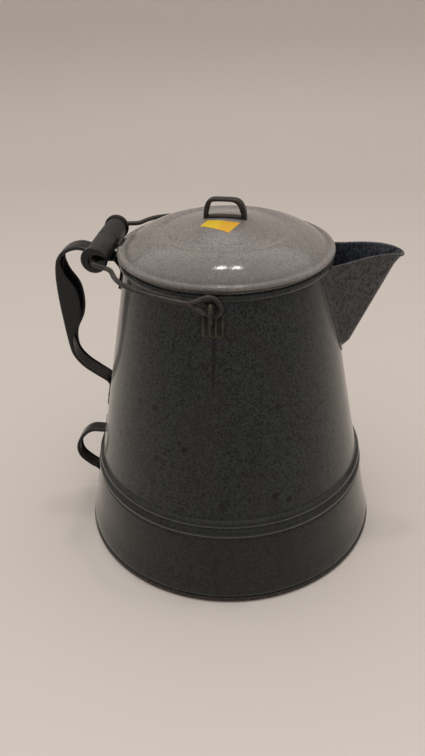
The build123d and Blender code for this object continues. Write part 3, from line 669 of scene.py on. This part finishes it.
earShape = {
    "low": 212.0, "high": 229.5, "half": 8.25, "sheet": 1.1, "flutes": 4, "fluteHeight": 1.9, "rod": 1.4,
    "off": -1.0, "legIn": 83.4, "legOut": 94.2, "rodZ": 240.8, "footZ": 228.0, "corner": 3.4,
}


def earPlate(name, side):
    s = earShape
    rows, columns = 26, 66
    front, back = [], []
    for i in range(rows + 1):
        z = s["low"] + (s["high"] - s["low"]) * i / rows
        r = wallR(z)
        endFade = min(1.0, min(i, rows - i) / 3)
        for j in range(columns + 1):
            across = s["half"] * (2 * j / columns - 1)
            wave = 0.5 - 0.5 * math.cos(2 * math.pi * s["flutes"] * j / columns)
            edge = min(1.0, min(j, columns - j) / 2.5)
            lift = s["sheet"] * (0.35 + 0.65 * min(edge, endFade) ** 0.5)
            lift += s["fluteHeight"] * wave ** 0.8 * endFade
            turn = math.asin((across + s["off"]) / r)
            front.append((math.sin(turn) * (r + lift), side * math.cos(turn) * (r + lift), z))
            back.append((math.sin(turn) * (r - 0.05), side * math.cos(turn) * (r - 0.05), z))
    return plate(name, front, back, columns, rows)


def earLoop(name, side):  # the bent rod that holds the bail's eye
    s = earShape
    c = s["corner"]
    loop = [(80.2, 227.5), (81.6, 229.4), (82.9, 231.8), (s["legIn"], 234.5)]
    loop += arc(s["legIn"] + c, s["rodZ"] - c, c, 180, 90, 8)
    loop += arc(s["legOut"] - c, s["rodZ"] - c, c, 90, 0, 8)
    loop += arc(s["legOut"] - c, s["footZ"] + c, c, 0, -90, 8)
    loop += [(y, s["footZ"] - drop) for y, drop in ((88.0, 0.2), (84.5, 0.5), (81.5, 1.2), (80.0, 2.0))]
    return tube(name, [(s["off"], side * y, z) for y, z in loop], s["rod"], 14)


for side, word in ((1, "Left"), (-1, "Right")):
    node = "bail_ear_" + word.lower()
    dress(earPlate("earPlate" + word, side), earIron, "pot", "iron", node)
    dress(earLoop("earLoop" + word, side), earIron, "pot", "iron")
print("ears made")


bailShape = {  # limb and tail of (reach, across, lift out of the bail's plane)
    "r": 1.8, "z": 238.5, "eyeY": 89.0, "eyeR": 6.6, "eyeOff": 1.0, "gripX": 92.5, "gripZ": 248.5,
    "limb": ((93.0, 40.0, 0.0), (91.9, 42.9, 0.0), (88.7, 45.6, 0.0), (84.6, 47.3, 0.0), (80.2, 49.2, 0.0),
             (76.9, 52.2, 0.0), (74.5, 57.0, 0.0), (71.3, 63.2, 0.0), (67.0, 69.0, 0.0), (61.6, 73.9, 0.0),
             (55.6, 78.0, 0.0), (49.0, 81.2, 0.0), (42.0, 83.6, 0.0), (35.0, 85.5, 0.0), (27.9, 87.0, 0.0),
             (22.0, 87.9, -0.05), (17.6, 88.5, 0.1), (13.6, 88.75, 1.2), (10.0, 88.85, 2.9),
             (6.9, 88.9, 4.6)),
    "tail": ((7.0, 89.0, -4.7), (10.4, 89.0, -2.9), (13.6, 89.0, -1.5), (15.6, 89.0, -0.8)),
}


def bailWire():
    s = bailShape
    park = math.atan2(s["gripZ"] - s["z"], s["gripX"])

    def spot(reach, across, lift):
        x = -reach * math.cos(park) - lift * math.sin(park)
        z = s["z"] + reach * math.sin(park) + lift * math.cos(park)
        return (x, across, z)

    half = list(s["limb"])
    for r, lift in arc(s["eyeOff"], 0.0, s["eyeR"], 60, 300, 25):  # round the ear's rod
        half.append((r, s["eyeY"], lift))
    half += s["tail"]  # and back to lie against itself
    fine = smoothLine(half, 4)
    left = [spot(*p) for p in reversed(fine)]
    right = [spot(r, -y, w) for r, y, w in fine]
    reach = math.hypot(s["gripX"], s["gripZ"] - s["z"])
    bar = [spot(reach, y, 0.0) for y in (36.0, 24.0, 12.0, 0.0, -12.0, -24.0, -36.0)]
    return dress(tube("bailWire", left + bar + right, s["r"], 16), wireIron, "bail", "iron", "bail_wire")


gripShape = {
    "half": 38.5, "flange": 9.9, "flangeWide": 4.6, "barrel": 8.9, "neck": 8.2, "bore": 2.2,
    "x": -92.5, "z": 248.5,
}


def bailGrip():
    s = gripShape
    end, b, n = s["half"], s["barrel"], s["neck"]
    inner = end - s["flangeWide"]
    right = [(b - 0.45, 0), (b - 0.45, 0.5), (b - 0.3, 0.85), (b - 0.03, 1.15), (b, 1.8)]
    right += [(b - 0.35 * t ** 2, 1.8 + (inner * 0.8 - 1.8) * t) for t in (0.2, 0.4, 0.6, 0.8, 1.0)]
    right += [(n + 0.15, inner * 0.92), (n, inner - 0.9)]
    right += [(n + 0.05, inner - 0.35), (n + 0.35, inner - 0.05)]
    right += arc(s["flange"] - 1.2, inner + 1.1, 1.2, -80, 0, 6)
    right += [(s["flange"], end - 2.0)]
    right += arc(s["flange"] - 1.9, end - 1.9, 1.9, 0, 84, 8)
    right += [(5.0, end), (4.2, end - 0.25), (3.7, end - 1.2)]  # and down the bore
    right += [(s["bore"], end - 1.5), (s["bore"], 20), (s["bore"], 0)]
    outline = right + [(r, -h) for r, h in reversed(right) if h > 0]
    grip = lathe("bailGrip", outline, 72, lambda p: (p[0] + s["x"], p[2], p[1] + s["z"]))
    return dress(grip, gripPaint, "grip", "black_wood", "bail_grip")


bailWire()
bailGrip()
print("bail made")


lidShape = {
    "sheet": 1.1, "roll": 2.4, "centreR": 79.8, "z": 247.0, "insideR": 76.4,
    "notch": ((-90, -78.2), (-9.2, 9.2), (240, 256)),
    "dome": ((77.95, 248.4), (77.2, 248.3), (76.4, 248.8), (75.4, 250.0), (73.6, 251.8), (70.4, 254.1),
             (67.0, 256.3), (63.5, 258.2), (60.0, 259.75), (56.5, 261.0), (53.5, 261.8), (50.5, 262.05),
             (48.0, 261.7), (46.2, 261.2), (44.8, 261.6), (42.8, 262.5), (38.0, 263.5), (30.0, 265.4),
             (22.0, 267.15), (14.0, 268.4), (7.0, 269.1), (0.0, 269.3)),
}


def lidShell():
    s = lidShape
    top = smoothLine(s["dome"], 5)
    inner = [(max(r - s["sheet"] * 0.5, 0.0), z - s["sheet"]) for r, z in reversed(top) if r < s["insideR"]]
    inner.append((76.7, 247.3))
    roll = arc(s["centreR"], s["z"], s["roll"], 138, -160, 34)
    shell = lathe("lidShell", list(reversed(top)) + roll + list(reversed(inner)), 240)
    xs, ys, zs = s["notch"]
    corners = [(x, y, z) for x in xs for y in ys for z in zs]
    sides = [(0, 1, 3, 2), (4, 6, 7, 5), (0, 4, 5, 1), (2, 3, 7, 6), (0, 2, 6, 4), (1, 5, 7, 3)]
    box = meshPiece("notchBox", corners, sides)
    cut = shell.modifiers.new("notch", "BOOLEAN")  # room for the hinge
    cut.operation, cut.object, cut.solver = "DIFFERENCE", box, "EXACT"
    bpy.context.view_layer.update()
    cutMesh = bpy.data.meshes.new_from_object(shell.evaluated_get(bpy.context.evaluated_depsgraph_get()))
    shell.modifiers.clear()
    shell.data = cutMesh
    bpy.data.objects.remove(box)
    return dress(shell, lidGranite, "lid", "lid_enamel", "lid_shell")


knobShape = {  # hoop and foot of (x, height, thickness) along the middle of the strap
    "width": 7.0, "backY": 2.2, "turn": -5.0, "sides": 20,
    "hoop": (
        (-14.75, 267.6, 3.0), (-14.7, 270.5, 3.3), (-14.2, 274.0, 3.6), (-13.4, 277.2, 3.7),
        (-12.2, 280.0, 3.4), (-10.0, 281.8, 2.9), (-7.0, 282.3, 2.6), (0.0, 282.4, 2.5), (6.0, 282.2, 2.7),
        (9.8, 280.9, 3.6), (12.1, 278.0, 4.2), (13.4, 274.4, 4.2), (14.1, 270.8, 3.9), (14.4, 267.6, 3.6),
    ),
    "foot": ((-13.6, 269.0, 1.5), (-9.0, 269.6, 1.5), (-4.0, 269.9, 1.4), (4.0, 269.9, 1.4),
             (9.0, 269.6, 1.5), (13.6, 269.0, 1.5)),
}


def knobStrap(name, line):
    s = knobShape
    path = smoothLine(line, 6)
    last = len(path) - 1
    turn = math.radians(s["turn"])
    rings = []
    for i, (x, z, thick) in enumerate(path):
        ax, az = path[max(i - 1, 0)][:2]
        bx, bz = path[min(i + 1, last)][:2]
        length = math.hypot(bx - ax, bz - az)
        nx, nz = (bz - az) / length, -(bx - ax) / length
        ring = []
        for k in range(s["sides"]):
            a = 2 * math.pi * k / s["sides"]
            c, w = math.cos(a), math.sin(a)
            y = s["width"] / 2 * math.copysign(abs(c) ** 0.45, c)
            n = thick / 2 * math.copysign(abs(w) ** 0.6, w)
            px = x + nx * n
            across = px * math.sin(turn) + y * math.cos(turn) + s["backY"]
            ring.append((px * math.cos(turn) - y * math.sin(turn), across, z + nz * n))
        rings.append(ring)
    return loft(name, rings, 45)


def lidKnob():  # the stirrup stands on a thin strap that runs between its legs
    dress(knobStrap("knobFoot", knobShape["foot"]), knobIron, "lid", "iron", "lid_knob_rivets")
    return dress(knobStrap("lidKnob", knobShape["hoop"]), knobIron, "lid", "iron", "lid_knob")


labelShape = {
    "corners": ((-17.0, -14.0), (5.0, -25.0), (12.0, -9.5), (-12.4, -4.7)), "thick": 0.16, "curl": 6.0,
}


def lidLabel():  # a bare paper label that follows the dome
    s = labelShape
    a, b, c, d = (Vector(p) for p in s["corners"])
    dome = smoothLine(lidShape["dome"], 8)
    wide, deep = 24, 14
    top, low = [], []
    for i in range(deep + 1):
        for j in range(wide + 1):
            u, v = j / wide, i / deep
            p = (a * (1 - u) + b * u) * (1 - v) + (d * (1 - u) + c * u) * v
            z = heightAt(dome, p.length) + 0.03 + s["curl"] * max(0.0, u - 0.86) * max(0.0, v - 0.7)
            top.append((p.x, p.y, z + s["thick"]))
            low.append((p.x, p.y, z))
    return dress(plate("lidLabel", top, low, wide, deep), labelPaper, "lid", "lid_enamel")


lidShell()
lidKnob()
lidLabel()
print("lid made")


stageLook = {  # metres
    "half": 3.0, "wallY": 1.35, "wallTop": 1.6, "bend": 0.3,
    "floor": paint(0.64, 0.585, 0.54), "patch": paint(0.58, 0.54, 0.5),
}


def makeStage():  # one pale sheet, bent up into a wall
    s = stageLook
    line = [(-s["half"], 0.0), (-0.6, 0.0), (0.4, 0.0)]
    line += arc(s["wallY"] - s["bend"], s["bend"], s["bend"], -90, 0, 13)
    line += [(s["wallY"], s["wallTop"])]
    corners = [(x * 1000, y * 1000, z * 1000) for y, z in line for x in (-s["half"], s["half"])]
    faces = [(2 * i, 2 * i + 1, 2 * i + 3, 2 * i + 2) for i in range(len(line) - 1)]
    sheet = meshPiece("studioSheet", corners, faces, 60)
    f = Finish("sheetPaint")
    cloud = f.noise(3.0, 2.0)
    colour = f.mix(cloud * 0.08, s["floor"], s["patch"])
    sheet.data.materials.append(f.feed(Base_Color=colour, Roughness=0.5 + cloud * 0.1))


lampLook = {
    "world": (1.0, 0.97, 0.94), "seen": 0.6, "low": 0.35, "high": 1.25, "from": (0.0, 0.4, 0.917),
    "spots": ((-0.112, 0.197, 2.056), (0.164, 0.209, 2.056)), "aim": (0, 0, 0.2), "power": 2.6,
    "size": (0.12, 0.06), "tint": (1.0, 0.96, 0.9),
}


def makeLight():
    s = lampLook
    world = bpy.data.worlds.new("room")
    bpy.context.scene.world = world
    world.use_nodes = True
    board = Board(world.node_tree)
    back = board.tree.nodes["Background"]
    back.inputs["Color"].default_value = (*s["world"], 1.0)
    ways = board.add("ShaderNodeTexCoord")
    towards = board.add("ShaderNodeVectorMath", {"operation": "DOT_PRODUCT"},
                        {0: Strand(board, ways.outputs["Generated"]), 1: s["from"]})
    soft = Strand(board, towards.outputs["Value"]).rise(-0.2, 1.0)  # strongest from high at the back
    soft = soft * (s["high"] - s["low"]) + s["low"]
    rays = board.add("ShaderNodeLightPath")
    plain = Strand(board, rays.outputs["Is Camera Ray"])
    for ray in ("Is Glossy Ray", "Is Transmission Ray"):
        plain = plain.most(Strand(board, rays.outputs[ray]))
    level = soft + plain * (soft.most(s["seen"]) - soft)  # a plain pale room when seen or reflected
    board.tree.links.new(level.socket, back.inputs["Strength"])
    for i, spot in enumerate(s["spots"]):
        name = "ceilingLamp" + str(i)
        light = bpy.data.lights.new(name, "AREA")
        light.shape = "RECTANGLE"
        light.size, light.size_y = s["size"]
        light.energy, light.color = s["power"], s["tint"]
        item = bpy.data.objects.new(name, light)
        item.location = spot
        item.rotation_mode = "QUATERNION"
        item.rotation_quaternion = (Vector(s["aim"]) - Vector(spot)).to_track_quat("-Z", "Y")
        bpy.context.scene.collection.objects.link(item)


cameraLook = {  # millimetres and radians
    "back": 504.4, "up": 436.6, "pan": -0.0258, "pitch": 0.5451, "roll": -0.0302, "turn": math.radians(6.0),
    "film": 36.0, "lens": 700.0 / 756.0 * 36.0,
}


def makeCamera():
    s = cameraLook
    pan, pitch, roll = s["pan"], s["pitch"], s["roll"]
    ahead = Vector((math.sin(pan) * math.cos(pitch), math.cos(pan) * math.cos(pitch), -math.sin(pitch)))
    flatRight = Vector((math.cos(pan), -math.sin(pan), 0))
    flatUp = flatRight.cross(ahead)
    right = flatRight * math.cos(roll) + flatUp * math.sin(roll)
    up = flatUp * math.cos(roll) - flatRight * math.sin(roll)
    turn = Matrix.Rotation(s["turn"], 3, "Z")
    axes = Matrix((turn @ right, turn @ up, turn @ -ahead)).transposed()
    data = bpy.data.cameras.new("photoCamera")
    data.sensor_width, data.lens = s["film"], s["lens"]
    data.clip_start, data.clip_end = 0.02, 20.0
    camera = bpy.data.objects.new("photoCamera", data)
    camera.matrix_world = Matrix.Translation(turn @ Vector((0, -s["back"], s["up"])) * mm) @ axes.to_4x4()
    bpy.context.scene.collection.objects.link(camera)
    bpy.context.scene.camera = camera


makeStage()
makeLight()
makeCamera()
bpy.context.scene.view_settings.view_transform = "Standard"
print("stage, light and camera made")
